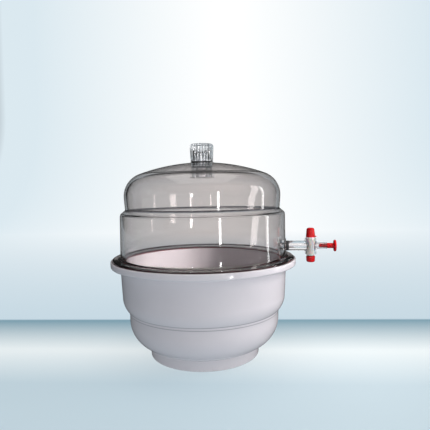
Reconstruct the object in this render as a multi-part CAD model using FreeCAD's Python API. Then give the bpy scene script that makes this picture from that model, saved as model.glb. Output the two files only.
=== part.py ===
import FreeCAD, Part
import math
import os

# Vacuum desiccator, nominal 200 mm size. All lengths in mm, +Z up.
# The origin is the centre of the foot's underside. The stopcock points along +X.

# base bowl, outside
BOWL_HEIGHT = 121.8
FOOT_HEIGHT = 14.0
FOOT_RING_WIDTH = 5.5
FOOT_INSET = 0.9
FOOT_DRAFT = 1.0
FOOT_EDGE_R = 1.0
BOWL_CORNER_R = 36.0
BOWL_CORNER_TOP_Z = 48.0
BEAD_Z = 57.0
BEAD_PROUD = 0.7
STEP_Z = 60.2
STEP_IN = 8.4
SHOULDER_HEIGHT = 18.0
SHOULDER_ARC_R = 27.0
UPPER_WALL_DRAFT = 1.8
RIM_REACH = 18.7
RIM_T = 6.3
RIM_LIP_WIDTH = 2.2
RIM_LIP_HEIGHT = 1.7
RIM_UNDER_FILLET = 2.0
RIM_LOW_EDGE_R = 2.4
RIM_LIP_EDGE_R = 1.0

# base bowl, inside
MOUTH_R = 100.0
UPPER_WALL_T = 6.6
LOWER_WALL_T = 4.5
LEDGE_Z = 72.0
INNER_DRAFT = 1.6

# seal ring and its groove
SEAL_INSET = 4.0
SEAL_SECTION_R = 2.5
SEAL_GROOVE_CLEARANCE = 0.1
SEAL_TO_LID = 0.25

# lid
LID_T = 4.0
FLANGE_CLEARANCE = 0.5
FLANGE_T = 3.4
FLANGE_FILLET = 3.0
FLANGE_TOP_EDGE_R = 1.2
FLANGE_LOW_EDGE_R = 0.6
LID_GAP = 0.8
LID_OVERLAP = 6.4
LID_DRAFT = 0.6
LID_WALL_HEIGHT = 59.1
LID_SHOULDER_R = 6.0
NECK_STEP = 6.7
NECK_RISE = 5.2
NECK_FILLET = 2.0
NECK_BULGE = 1.2
NECK_HEIGHT = 17.0
KNUCKLE_R = 30.0
KNUCKLE_START_DEG = -4.3
CROWN_R = 235.0

# knob, its washer and its nut
KNOB_LAND_R = 16.2
KNOB_LAND_PROUD = 0.1
KNOB_INNER_LAND_R = 14.6
KNOB_INNER_LAND_PROUD = 0.5
KNOB_WASHER_R = 14.0
KNOB_WASHER_T = 1.2
KNOB_LOW_R = 14.5
KNOB_TOP_R = 15.3
KNOB_HEIGHT = 23.2
KNOB_CROWN = 0.7
KNOB_EDGE_R = 2.6
KNOB_CAP_T = 9.0
KNOB_WALL_T = 2.8
KNOB_STEM_R = 5.0
KNOB_STEM_EDGE_R = 0.6
KNOB_HOLLOW_FILLET = 1.0
KNOB_LOW_EDGE_R = 0.5
KNOB_FLUTES = 24
FLUTE_R = 1.25
FLUTE_DEPTH = 0.85
KNOB_NUT_R = 13.4
KNOB_NUT_FLANGE_R = 15.8
KNOB_NUT_FLANGE_T = 2.2
KNOB_NUT_HEIGHT = 9.6
KNOB_NUT_EDGE_R = 0.5
KNOB_NUT_FILLET = 0.8
STEM_BEYOND_NUT = 1.0
STATIC_CLEARANCE = 0.1

# stopcock body
COCK_HEIGHT = 15.9
PAD_R = 9.0
PAD_PROUD = 0.65
INNER_PAD_PROUD = 0.8
SPIGOT_R = 4.9
WALL_WASHER_R = 6.4
WALL_WASHER_T = 3.4
TUBE_R = 6.2
TUBE_BORE_R = 2.0
RIM_TO_BARREL = 18.7
BARREL_R = 7.0
BARREL_ABOVE = 9.2
BARREL_BELOW = 10.4
BARREL_BLEND_R = 1.5
BARREL_EDGE_R = 0.4
NOZZLE_EDGE_R = 0.4
NOZZLE_CONE_LENGTH = 9.6
NOZZLE_R = 4.15
NOZZLE_LENGTH = 20.0
NOZZLE_MOUTH_R = 2.9
NOZZLE_MOUTH_DEPTH = 10.4
INNER_WASHER_R = 7.8
INNER_WASHER_T = 1.0
LOCK_NUT_FLATS = 15.0
LOCK_NUT_T = 2.4
SPIGOT_BEYOND_NUT = 0.5

# stopcock plug, key and their fixings
PLUG_R = 5.0
RUNNING_CLEARANCE = 0.05
FACE_CLEARANCE = 0.1
COLLAR_R = 6.1
COLLAR_T = 1.3
COLLAR_EDGE_R = 0.3
KEY_PEG_R = 2.6
KEY_PEG_HEIGHT = 7.0
KEY_PEG_EDGE_R = 0.4
KEY_HEIGHT = 11.9
KEY_TOP_R = 4.7
KEY_LOW_R = 5.6
KEY_EDGE_R = 2.2
KEY_LOW_EDGE_R = 0.4
POINTER_REACH = 7.5
POINTER_WIDTH = 2.6
POINTER_HEIGHT = 3.4
POINTER_TIP_HEIGHT = 0.8
PLUG_TAIL_R = 2.8
PLUG_TAIL_EDGE_R = 0.4
KEY_WASHER_R = 5.8
KEY_WASHER_T = 1.2
KEY_ORING_R = 3.7
KEY_ORING_SECTION_R = 0.7
KEY_NUT_R = 5.5
KEY_NUT_HEIGHT = 7.6
KEY_NUT_EDGE_R = 1.8
KEY_NUT_TOP_EDGE_R = 0.5
KEY_NUT_FLOOR_T = 2.0

# outlet plug
OUTLET_TAPER = 0.25
OUTLET_INSERT = 9.8
OUTLET_STEM_R = 3.3
OUTLET_STEM_LENGTH = 8.5
OUTLET_FLANGE_R = 7.2
OUTLET_FLANGE_T = 2.6
OUTLET_FLANGE_EDGE_R = 0.9

# perforated plate
PLATE_CLEARANCE = 1.9
PLATE_T = 3.0
PLATE_RIM_WIDTH = 2.5
PLATE_RIM_HEIGHT = 1.5
PLATE_HOLE_R = 4.0
PLATE_RING_PITCH = 16.5
PLATE_RIM_MARGIN = 12.0
PLATE_HOLE_PITCH = 16.5

# desiccant
GEL_DEPTH = 21.5
GEL_HEAP = 3.0

# heights and stations that follow from the sizes above
RIM_BOTTOM_Z = BOWL_HEIGHT - RIM_T
SHOULDER_TOP_Z = STEP_Z + SHOULDER_HEIGHT
UPPER_WALL_TOP_R = MOUTH_R + UPPER_WALL_T
UPPER_WALL_LOW_R = UPPER_WALL_TOP_R - UPPER_WALL_DRAFT
LOWER_WALL_R = UPPER_WALL_LOW_R - STEP_IN
RIM_R = MOUTH_R + RIM_REACH
LEDGE_OUTER_R = MOUTH_R - INNER_DRAFT
SEAL_CENTRE_R = MOUTH_R + SEAL_INSET
FLANGE_R = RIM_R - RIM_LIP_WIDTH - FLANGE_CLEARANCE
LID_Z = BOWL_HEIGHT + LID_GAP
LID_LOW_R = MOUTH_R + LID_OVERLAP
LID_TOP_R = LID_LOW_R - LID_DRAFT
LID_SHOULDER_Z = LID_Z + LID_WALL_HEIGHT
NECK_R = LID_TOP_R - NECK_STEP
NECK_Z = LID_SHOULDER_Z + NECK_RISE
KNUCKLE_TOP_R = NECK_R + NECK_BULGE
KNUCKLE_Z = NECK_Z + NECK_HEIGHT
FLANGE_TOP_Z = LID_Z + FLANGE_T
SEAL_Z = LID_Z - SEAL_TO_LID - SEAL_SECTION_R
LOWER_INNER_R = LOWER_WALL_R - LOWER_WALL_T
CORNER_CENTRE_R = LOWER_WALL_R - BOWL_CORNER_R
FLOOR_UNDER_Z = BOWL_CORNER_TOP_Z - BOWL_CORNER_R
FLOOR_Z = FLOOR_UNDER_Z + LOWER_WALL_T
SHOULDER_CENTRE_R = UPPER_WALL_LOW_R - SHOULDER_ARC_R
KNUCKLE_CENTRE_R = KNUCKLE_TOP_R - KNUCKLE_R
CROWN_CENTRE_Z = KNUCKLE_Z - math.sqrt((CROWN_R - KNUCKLE_R) ** 2 - KNUCKLE_CENTRE_R ** 2)
APEX_Z = CROWN_CENTRE_Z + CROWN_R
LAND_Z = APEX_Z + KNOB_LAND_PROUD
INNER_LAND_Z = APEX_Z - LID_T - KNOB_INNER_LAND_PROUD
KNOB_Z = LAND_Z + KNOB_WASHER_T
KNOB_TOP_Z = KNOB_Z + KNOB_HEIGHT
KNOB_NUT_Z = INNER_LAND_Z - KNOB_NUT_HEIGHT
COCK_Z = LID_Z + COCK_HEIGHT
LID_WALL_R = LID_LOW_R - (LID_LOW_R - LID_TOP_R) * (COCK_Z - LID_Z) / (LID_SHOULDER_Z - LID_Z)
PAD_X = LID_WALL_R + PAD_PROUD
INNER_PAD_X = LID_WALL_R - LID_T - INNER_PAD_PROUD
TUBE_X = PAD_X + WALL_WASHER_T
INNER_WASHER_X = INNER_PAD_X - INNER_WASHER_T
LOCK_NUT_X = INNER_WASHER_X - LOCK_NUT_T
SPIGOT_X = LOCK_NUT_X - SPIGOT_BEYOND_NUT
BARREL_X = RIM_R + RIM_TO_BARREL
NOZZLE_CONE_END_X = BARREL_X + NOZZLE_CONE_LENGTH
NOZZLE_END_X = BARREL_X + NOZZLE_LENGTH
OUTLET_FLANGE_X = NOZZLE_END_X + OUTLET_STEM_LENGTH
BARREL_TOP_Z = COCK_Z + BARREL_ABOVE
BARREL_LOW_Z = COCK_Z - BARREL_BELOW
COLLAR_Z = BARREL_TOP_Z + FACE_CLEARANCE
KEY_Z = COLLAR_Z + COLLAR_T
KEY_WASHER_Z = BARREL_LOW_Z - FACE_CLEARANCE - KEY_WASHER_T
KEY_NUT_TOP_Z = KEY_WASHER_Z - 2 * KEY_ORING_SECTION_R
KEY_NUT_Z = KEY_NUT_TOP_Z - KEY_NUT_HEIGHT
PLATE_R = LEDGE_OUTER_R - PLATE_CLEARANCE
GEL_TOP_Z = FLOOR_Z + GEL_DEPTH

UP = FreeCAD.Vector(0, 0, 1)
ALONG_X = FreeCAD.Vector(1, 0, 0)
ALONG_Y = FreeCAD.Vector(0, 1, 0)
HOLE_OVERRUN = 5.0
HEXAGON_SIDES = 6
FLAT_TOLERANCE = 0.01


def at(r, z):
    return FreeCAD.Vector(r, 0, z)


def arc(centre_r, centre_z, radius, start_deg, end_deg):
    """One arc edge in the XZ plane. Angles are measured from +X towards +Z."""
    points = []
    for deg in (start_deg, (start_deg + end_deg) / 2, end_deg):
        a = math.radians(deg)
        points.append(at(centre_r + radius * math.cos(a), centre_z + radius * math.sin(a)))
    return Part.Arc(*points).toShape()


def path(corners):
    """Edges through corners (r, z) or (r, z, rounding); the two end corners stay sharp."""
    edges = []
    last = at(*corners[0][:2])
    for i in range(1, len(corners)):
        corner = at(*corners[i][:2])
        rounding = corners[i][2] if len(corners[i]) > 2 else 0
        if rounding == 0:
            edges.append(Part.makeLine(last, corner))
            last = corner
            continue
        back = (at(*corners[i - 1][:2]) - corner).normalize()
        ahead = (at(*corners[i + 1][:2]) - corner).normalize()
        half = back.getAngle(ahead) / 2
        reach = rounding / math.tan(half)
        middle = corner + (back + ahead).normalize() * (rounding / math.sin(half) - rounding)
        edges.append(Part.makeLine(last, corner + back * reach))
        last = corner + ahead * reach
        edges.append(Part.Arc(corner + back * reach, middle, last).toShape())
    return edges


def turned(edges):
    """Solid of revolution about Z from a closed run of edges."""
    wire = Part.Wire(Part.__sortEdges__(edges))
    return Part.Face(wire).revolve(FreeCAD.Vector(0, 0, 0), UP, 360)


def ring(inner_r, outer_r, low_z, height):
    outer = Part.makeCylinder(outer_r, height, at(0, low_z), UP)
    inner = Part.makeCylinder(inner_r, height, at(0, low_z), UP)
    return outer.cut(inner)


def lying_cylinder(radius, x_start, x_end):
    """Cylinder along X on the stopcock's axis."""
    return Part.makeCylinder(radius, x_end - x_start, at(x_start, COCK_Z), ALONG_X)


def lying_cone(r_start, r_end, x_start, x_end):
    return Part.makeCone(r_start, r_end, x_end - x_start, at(x_start, COCK_Z), ALONG_X)


def on_barrel(shape):
    """Moves a shape built about Z onto the barrel's axis."""
    return shape.translated(at(BARREL_X, 0))


def base_bowl():
    corner_low_deg = -math.degrees(math.asin((BOWL_CORNER_TOP_Z - FOOT_HEIGHT) / BOWL_CORNER_R))
    corner_low_r = CORNER_CENTRE_R + BOWL_CORNER_R * math.cos(math.radians(corner_low_deg))
    step_deg = -math.degrees(math.asin((SHOULDER_TOP_Z - STEP_Z) / SHOULDER_ARC_R))
    step_r = SHOULDER_CENTRE_R + SHOULDER_ARC_R * math.cos(math.radians(step_deg))
    foot_top_r = corner_low_r - FOOT_INSET
    foot_r = foot_top_r - FOOT_DRAFT
    foot_inner_r = foot_r - FOOT_RING_WIDTH
    inner_corner_r = BOWL_CORNER_R - LOWER_WALL_T
    groove_low_z = SEAL_Z - SEAL_SECTION_R
    groove_half = SEAL_SECTION_R + SEAL_GROOVE_CLEARANCE
    lip_inner_r = RIM_R - RIM_LIP_WIDTH
    edges = path([
        (0, FLOOR_UNDER_Z),
        (foot_inner_r, FLOOR_UNDER_Z),
        (foot_inner_r, 0),
        (foot_r, 0, FOOT_EDGE_R),
        (foot_top_r, FOOT_HEIGHT),
        (corner_low_r, FOOT_HEIGHT),
    ])
    edges.append(arc(CORNER_CENTRE_R, BOWL_CORNER_TOP_Z, BOWL_CORNER_R, corner_low_deg, 0))
    edges += path([
        (LOWER_WALL_R, BOWL_CORNER_TOP_Z),
        (LOWER_WALL_R, BEAD_Z),
        (LOWER_WALL_R + BEAD_PROUD, BEAD_Z),
        (LOWER_WALL_R + BEAD_PROUD, STEP_Z),
        (step_r, STEP_Z),
    ])
    edges.append(arc(SHOULDER_CENTRE_R, SHOULDER_TOP_Z, SHOULDER_ARC_R, step_deg, 0))
    edges += path([
        (UPPER_WALL_LOW_R, SHOULDER_TOP_Z),
        (UPPER_WALL_TOP_R, RIM_BOTTOM_Z, RIM_UNDER_FILLET),
        (RIM_R, RIM_BOTTOM_Z, RIM_LOW_EDGE_R),
        (RIM_R, BOWL_HEIGHT + RIM_LIP_HEIGHT, RIM_LIP_EDGE_R),
        (lip_inner_r, BOWL_HEIGHT + RIM_LIP_HEIGHT),
        (lip_inner_r, BOWL_HEIGHT),
        (SEAL_CENTRE_R + groove_half, BOWL_HEIGHT),
        (SEAL_CENTRE_R + groove_half, groove_low_z),
        (SEAL_CENTRE_R - groove_half, groove_low_z),
        (SEAL_CENTRE_R - groove_half, BOWL_HEIGHT),
        (MOUTH_R, BOWL_HEIGHT),
        (LEDGE_OUTER_R, LEDGE_Z),
        (LOWER_INNER_R, LEDGE_Z),
        (LOWER_INNER_R, BOWL_CORNER_TOP_Z),
    ])
    edges.append(arc(CORNER_CENTRE_R, BOWL_CORNER_TOP_Z, inner_corner_r, 0, -90))
    edges += path([(CORNER_CENTRE_R, FLOOR_Z), (0, FLOOR_Z), (0, FLOOR_UNDER_Z)])
    return turned(edges)


def seal_ring():
    return Part.makeTorus(SEAL_CENTRE_R, SEAL_SECTION_R, at(0, SEAL_Z), UP)


def silica_gel():
    inner_corner_r = BOWL_CORNER_R - LOWER_WALL_T
    top_deg = -math.degrees(math.asin((BOWL_CORNER_TOP_Z - GEL_TOP_Z) / inner_corner_r))
    top_r = CORNER_CENTRE_R + inner_corner_r * math.cos(math.radians(top_deg))
    heap_r = (top_r ** 2 + GEL_HEAP ** 2) / (2 * GEL_HEAP)
    heap_deg = math.degrees(math.acos(top_r / heap_r))
    edges = path([(0, GEL_TOP_Z + GEL_HEAP), (0, FLOOR_Z), (CORNER_CENTRE_R, FLOOR_Z)])
    edges.append(arc(CORNER_CENTRE_R, BOWL_CORNER_TOP_Z, inner_corner_r, -90, top_deg))
    edges.append(arc(0, GEL_TOP_Z + GEL_HEAP - heap_r, heap_r, heap_deg, 90))
    return turned(edges)


def perforated_plate():
    plate = Part.makeCylinder(PLATE_R, PLATE_T, at(0, LEDGE_Z), UP)
    plate = plate.fuse(ring(PLATE_R - PLATE_RIM_WIDTH, PLATE_R, LEDGE_Z + PLATE_T, PLATE_RIM_HEIGHT))
    holes = [Part.makeCylinder(PLATE_HOLE_R, PLATE_T, at(0, LEDGE_Z), UP)]
    rings = int((PLATE_R - PLATE_RIM_MARGIN) / PLATE_RING_PITCH)
    for i in range(1, rings + 1):
        ring_r = i * PLATE_RING_PITCH
        count = int(2 * math.pi * ring_r / PLATE_HOLE_PITCH)
        for j in range(count):
            a = 2 * math.pi * j / count
            foot = FreeCAD.Vector(ring_r * math.cos(a), ring_r * math.sin(a), LEDGE_Z)
            holes.append(Part.makeCylinder(PLATE_HOLE_R, PLATE_T, foot, UP))
    return plate.cut(Part.makeCompound(holes)).removeSplitter()


def bell(inset, low_edges):
    """Solid under the lid's outer face moved inwards by inset; low_edges close its foot."""
    rise = math.hypot(LID_TOP_R - NECK_R, NECK_Z - LID_SHOULDER_Z)
    normal_r = (NECK_Z - LID_SHOULDER_Z) / rise
    normal_z = (LID_TOP_R - NECK_R) / rise
    drop = inset * (1 - normal_r) / normal_z
    knuckle = KNUCKLE_R - inset
    crown = CROWN_R - inset
    tangent_deg = math.degrees(math.atan2(KNUCKLE_Z - CROWN_CENTRE_Z, KNUCKLE_CENTRE_R))
    start = math.radians(KNUCKLE_START_DEG)
    edges = [arc(0, CROWN_CENTRE_Z, crown, 90, tangent_deg)]
    edges.append(arc(KNUCKLE_CENTRE_R, KNUCKLE_Z, knuckle, tangent_deg, KNUCKLE_START_DEG))
    edges += path([
        (KNUCKLE_CENTRE_R + knuckle * math.cos(start), KNUCKLE_Z + knuckle * math.sin(start)),
        (NECK_R - inset, NECK_Z - drop, NECK_FILLET + inset),
        (LID_TOP_R - inset, LID_SHOULDER_Z - drop, LID_SHOULDER_R - inset),
    ] + low_edges + [(0, LID_Z), (0, CROWN_CENTRE_Z + crown)])
    return turned(edges)


def lid():
    outside = bell(0, [
        (LID_LOW_R, FLANGE_TOP_Z, FLANGE_FILLET),
        (FLANGE_R, FLANGE_TOP_Z, FLANGE_TOP_EDGE_R),
        (FLANGE_R, LID_Z, FLANGE_LOW_EDGE_R),
    ])
    inside = bell(LID_T, [(LID_LOW_R - LID_T, LID_Z)])
    mid_crown_z = APEX_Z - LID_T / 2
    outer_land = Part.makeCylinder(KNOB_LAND_R, LAND_Z - mid_crown_z, at(0, mid_crown_z), UP)
    inner_land = Part.makeCylinder(KNOB_INNER_LAND_R, mid_crown_z - INNER_LAND_Z, at(0, INNER_LAND_Z), UP)
    pad = lying_cylinder(PAD_R, INNER_PAD_X, PAD_X)
    shell = outside.cut(inside).fuse([outer_land, inner_land, pad])
    stem_hole = Part.makeCylinder(
        KNOB_STEM_R + STATIC_CLEARANCE, LID_T + 2 * HOLE_OVERRUN, at(0, APEX_Z - LID_T - HOLE_OVERRUN), UP)
    spigot_hole = lying_cylinder(
        SPIGOT_R + STATIC_CLEARANCE, INNER_PAD_X - HOLE_OVERRUN, PAD_X + HOLE_OVERRUN)
    return shell.cut([stem_hole, spigot_hole]).removeSplitter()


def knob():
    hollow_top_z = KNOB_TOP_Z - KNOB_CAP_T
    hollow_r = KNOB_LOW_R - KNOB_WALL_T
    stem_low_z = KNOB_NUT_Z - STEM_BEYOND_NUT
    body = turned(path([
        (0, KNOB_TOP_Z),
        (0, stem_low_z),
        (KNOB_STEM_R, stem_low_z, KNOB_STEM_EDGE_R),
        (KNOB_STEM_R, hollow_top_z, KNOB_HOLLOW_FILLET),
        (hollow_r, hollow_top_z, KNOB_HOLLOW_FILLET),
        (hollow_r, KNOB_Z),
        (KNOB_LOW_R, KNOB_Z, KNOB_LOW_EDGE_R),
        (KNOB_TOP_R, KNOB_TOP_Z - KNOB_CROWN, KNOB_EDGE_R),
        (0, KNOB_TOP_Z),
    ]))
    flutes = []
    flute_r = KNOB_TOP_R + FLUTE_R - FLUTE_DEPTH
    for i in range(KNOB_FLUTES):
        a = 2 * math.pi * i / KNOB_FLUTES
        foot = FreeCAD.Vector(flute_r * math.cos(a), flute_r * math.sin(a), KNOB_Z)
        flutes.append(Part.makeCylinder(FLUTE_R, KNOB_HEIGHT, foot, UP))
    return body.cut(flutes)


def knob_washer():
    return ring(KNOB_STEM_R + STATIC_CLEARANCE, KNOB_WASHER_R, LAND_Z, KNOB_WASHER_T)


def knob_nut():
    bore_r = KNOB_STEM_R + STATIC_CLEARANCE
    flange_top_z = KNOB_NUT_Z + KNOB_NUT_FLANGE_T
    return turned(path([
        (bore_r, INNER_LAND_Z),
        (bore_r, KNOB_NUT_Z),
        (KNOB_NUT_FLANGE_R, KNOB_NUT_Z, KNOB_NUT_EDGE_R),
        (KNOB_NUT_FLANGE_R, flange_top_z, KNOB_NUT_EDGE_R),
        (KNOB_NUT_R, flange_top_z, KNOB_NUT_FILLET),
        (KNOB_NUT_R, INNER_LAND_Z),
        (bore_r, INNER_LAND_Z),
    ]))


def lies_flat_at(edge, z):
    return abs(edge.BoundBox.ZMin - z) < FLAT_TOLERANCE and abs(edge.BoundBox.ZMax - z) < FLAT_TOLERANCE


def runs_round_barrel(edge):
    """True for an edge on the barrel's wall between its two ends."""
    middle = edge.valueAt((edge.FirstParameter + edge.LastParameter) / 2)
    off_axis = math.hypot(middle.x - BARREL_X, middle.y)
    on_wall = abs(off_axis - BARREL_R) < FLAT_TOLERANCE
    bends = edge.BoundBox.YLength > FLAT_TOLERANCE
    inside_ends = BARREL_LOW_Z + FLAT_TOLERANCE < middle.z < BARREL_TOP_Z - FLAT_TOLERANCE
    return on_wall and bends and inside_ends


def stopcock_body():
    limbs = lying_cylinder(TUBE_R, TUBE_X, BARREL_X).fuse([
        lying_cone(TUBE_R, NOZZLE_R, BARREL_X, NOZZLE_CONE_END_X),
        lying_cylinder(NOZZLE_R, NOZZLE_CONE_END_X, NOZZLE_END_X),
    ])
    barrel = Part.makeCylinder(BARREL_R, BARREL_TOP_Z - BARREL_LOW_Z, at(BARREL_X, BARREL_LOW_Z), UP)
    solid = limbs.fuse(barrel).removeSplitter()
    meeting = [e for e in solid.Edges if runs_round_barrel(e)]
    solid = solid.makeFillet(BARREL_BLEND_R, meeting)
    barrel_ends = [e for e in solid.Edges if lies_flat_at(e, BARREL_TOP_Z) or lies_flat_at(e, BARREL_LOW_Z)]
    solid = solid.makeFillet(BARREL_EDGE_R, barrel_ends)
    nozzle_end = [e for e in solid.Edges if e.BoundBox.XMin > NOZZLE_END_X - NOZZLE_EDGE_R]
    solid = solid.makeFillet(NOZZLE_EDGE_R, nozzle_end)
    spigot = lying_cylinder(SPIGOT_R, SPIGOT_X, TUBE_X)
    bores = [
        lying_cylinder(TUBE_BORE_R, SPIGOT_X, NOZZLE_END_X),
        lying_cylinder(NOZZLE_MOUTH_R, NOZZLE_END_X - NOZZLE_MOUTH_DEPTH, NOZZLE_END_X),
        Part.makeCylinder(
            PLUG_R + RUNNING_CLEARANCE, BARREL_TOP_Z - BARREL_LOW_Z, at(BARREL_X, BARREL_LOW_Z), UP),
    ]
    return solid.fuse(spigot).cut(bores).removeSplitter()


def wall_washer():
    outer = lying_cylinder(WALL_WASHER_R, PAD_X, TUBE_X)
    return outer.cut(lying_cylinder(SPIGOT_R + STATIC_CLEARANCE, PAD_X, TUBE_X))


def inner_washer():
    outer = lying_cylinder(INNER_WASHER_R, INNER_WASHER_X, INNER_PAD_X)
    return outer.cut(lying_cylinder(SPIGOT_R + STATIC_CLEARANCE, INNER_WASHER_X, INNER_PAD_X))


def lock_nut():
    corner_r = LOCK_NUT_FLATS / math.sqrt(3)
    corners = []
    for i in range(HEXAGON_SIDES + 1):
        a = 2 * math.pi * i / HEXAGON_SIDES
        corners.append(FreeCAD.Vector(LOCK_NUT_X, corner_r * math.cos(a), COCK_Z + corner_r * math.sin(a)))
    hexagon = Part.Face(Part.makePolygon(corners)).extrude(ALONG_X * LOCK_NUT_T)
    return hexagon.cut(lying_cylinder(SPIGOT_R + STATIC_CLEARANCE, LOCK_NUT_X, INNER_WASHER_X))


def stopcock_plug():
    tail_low_z = KEY_NUT_Z + KEY_NUT_FLOOR_T
    plug_low_z = BARREL_LOW_Z - FACE_CLEARANCE
    peg_top_z = KEY_Z + KEY_PEG_HEIGHT
    body = on_barrel(turned(path([
        (0, peg_top_z),
        (0, tail_low_z),
        (PLUG_TAIL_R, tail_low_z, PLUG_TAIL_EDGE_R),
        (PLUG_TAIL_R, plug_low_z),
        (PLUG_R, plug_low_z),
        (PLUG_R, COLLAR_Z),
        (COLLAR_R, COLLAR_Z, COLLAR_EDGE_R),
        (COLLAR_R, KEY_Z, COLLAR_EDGE_R),
        (KEY_PEG_R, KEY_Z),
        (KEY_PEG_R, peg_top_z, KEY_PEG_EDGE_R),
        (0, peg_top_z),
    ])))
    return body.cut(lying_cylinder(TUBE_BORE_R, BARREL_X - BARREL_R, BARREL_X + BARREL_R))


def stopcock_key():
    key_top_z = KEY_Z + KEY_HEIGHT
    cap = turned(path([
        (0, KEY_Z),
        (KEY_LOW_R, KEY_Z, KEY_LOW_EDGE_R),
        (KEY_TOP_R, key_top_z, KEY_EDGE_R),
        (0, key_top_z),
        (0, KEY_Z),
    ]))
    pointer_side = -POINTER_WIDTH / 2
    pointer = Part.makeBox(
        POINTER_REACH, POINTER_WIDTH, POINTER_HEIGHT, FreeCAD.Vector(0, pointer_side, KEY_Z))
    slope_z = KEY_Z + POINTER_TIP_HEIGHT + POINTER_HEIGHT
    slope = Part.makeCylinder(
        POINTER_HEIGHT, POINTER_WIDTH, FreeCAD.Vector(POINTER_REACH, pointer_side, slope_z), ALONG_Y)
    socket = Part.makeCylinder(
        KEY_PEG_R + STATIC_CLEARANCE, KEY_PEG_HEIGHT + STATIC_CLEARANCE, at(0, KEY_Z), UP)
    return on_barrel(cap.fuse(pointer.cut(slope)).cut(socket))


def key_washer():
    return on_barrel(ring(PLUG_TAIL_R + STATIC_CLEARANCE, KEY_WASHER_R, KEY_WASHER_Z, KEY_WASHER_T))


def key_oring():
    oring_z = KEY_WASHER_Z - KEY_ORING_SECTION_R
    return Part.makeTorus(KEY_ORING_R, KEY_ORING_SECTION_R, at(BARREL_X, oring_z), UP)


def key_nut():
    bore_r = PLUG_TAIL_R + STATIC_CLEARANCE
    floor_z = KEY_NUT_Z + KEY_NUT_FLOOR_T
    return on_barrel(turned(path([
        (0, KEY_NUT_Z),
        (0, floor_z),
        (bore_r, floor_z),
        (bore_r, KEY_NUT_TOP_Z),
        (KEY_NUT_R, KEY_NUT_TOP_Z, KEY_NUT_TOP_EDGE_R),
        (KEY_NUT_R, KEY_NUT_Z, KEY_NUT_EDGE_R),
        (0, KEY_NUT_Z),
    ])))


def outlet_plug():
    flange_end_x = OUTLET_FLANGE_X + OUTLET_FLANGE_T
    tip_r = NOZZLE_MOUTH_R - RUNNING_CLEARANCE
    insert = lying_cone(tip_r - OUTLET_TAPER, tip_r, NOZZLE_END_X - OUTLET_INSERT, NOZZLE_END_X)
    stem = lying_cylinder(OUTLET_STEM_R, NOZZLE_END_X, OUTLET_FLANGE_X)
    head = lying_cylinder(OUTLET_FLANGE_R, OUTLET_FLANGE_X, flange_end_x)
    rounds = [e for e in head.Edges if e.BoundBox.XLength < FLAT_TOLERANCE]
    head = head.makeFillet(OUTLET_FLANGE_EDGE_R, rounds)
    return insert.fuse([stem, head]).removeSplitter()


NODES = [
    base_bowl,
    seal_ring,
    silica_gel,
    perforated_plate,
    lid,
    knob,
    knob_washer,
    knob_nut,
    stopcock_body,
    wall_washer,
    inner_washer,
    lock_nut,
    stopcock_plug,
    stopcock_key,
    key_washer,
    key_oring,
    key_nut,
    outlet_plug,
]

os.makedirs("parts", exist_ok=True)
for node in NODES:
    shape = node()
    shape.exportStep("parts/" + node.__name__ + ".step")
    box = shape.BoundBox
    print(node.__name__, len(shape.Solids), shape.isValid(), round(shape.Volume, 1),
          [round(v, 2) for v in (box.XMin, box.XMax, box.YMin, box.YMax, box.ZMin, box.ZMax)])
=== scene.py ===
import math
import random

import bmesh
import bpy
from mathutils import Matrix, Vector

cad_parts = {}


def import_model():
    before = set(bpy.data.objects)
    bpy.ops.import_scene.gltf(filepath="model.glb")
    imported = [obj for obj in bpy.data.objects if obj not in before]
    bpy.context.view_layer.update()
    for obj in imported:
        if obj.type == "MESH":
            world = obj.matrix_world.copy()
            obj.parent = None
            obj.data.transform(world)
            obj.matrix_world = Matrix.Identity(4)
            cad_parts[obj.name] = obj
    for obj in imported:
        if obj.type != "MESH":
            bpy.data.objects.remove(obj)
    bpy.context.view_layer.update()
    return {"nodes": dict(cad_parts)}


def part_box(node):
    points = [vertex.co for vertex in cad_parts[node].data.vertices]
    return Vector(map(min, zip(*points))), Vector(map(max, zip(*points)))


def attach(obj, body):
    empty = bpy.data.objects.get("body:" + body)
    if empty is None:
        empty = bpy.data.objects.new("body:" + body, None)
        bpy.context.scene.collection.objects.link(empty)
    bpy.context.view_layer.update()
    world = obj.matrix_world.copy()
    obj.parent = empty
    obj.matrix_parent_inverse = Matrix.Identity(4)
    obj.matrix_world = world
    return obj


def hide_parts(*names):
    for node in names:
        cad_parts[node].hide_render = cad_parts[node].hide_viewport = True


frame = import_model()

MM = 0.001


# ---------------------------------------------------------------- outlines and lathes

SAME_POINT = 1e-3
ON_AXIS = 1e-4


def arc(centre_r, centre_z, radius, start_deg, end_deg, step_deg=4.0):
    count = max(2, int(abs(end_deg - start_deg) / step_deg) + 1)
    points = []
    for i in range(count + 1):
        a = math.radians(start_deg + (end_deg - start_deg) * i / count)
        points.append((centre_r + radius * math.cos(a), centre_z + radius * math.sin(a)))
    return points


def path(corners, arc_points=6):
    """Points through corners (r, z) or (r, z, rounding); the two end corners stay sharp."""
    points = [tuple(corners[0][:2])]
    for i in range(1, len(corners)):
        corner = Vector(corners[i][:2])
        rounding = corners[i][2] if len(corners[i]) > 2 else 0
        if not rounding:
            points.append(tuple(corner))
            continue
        back = (Vector(corners[i - 1][:2]) - corner).normalized()
        ahead = (Vector(corners[i + 1][:2]) - corner).normalized()
        half = back.angle(ahead) / 2
        centre = corner + (back + ahead).normalized() * (rounding / math.sin(half))
        start = corner + back * (rounding / math.tan(half)) - centre
        end = corner + ahead * (rounding / math.tan(half)) - centre
        turn = start.angle_signed(end)
        for k in range(arc_points + 1):
            a = -turn * k / arc_points
            spun = Vector((start.x * math.cos(a) - start.y * math.sin(a),
                           start.x * math.sin(a) + start.y * math.cos(a)))
            points.append(tuple(centre + spun))
    return points


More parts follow.
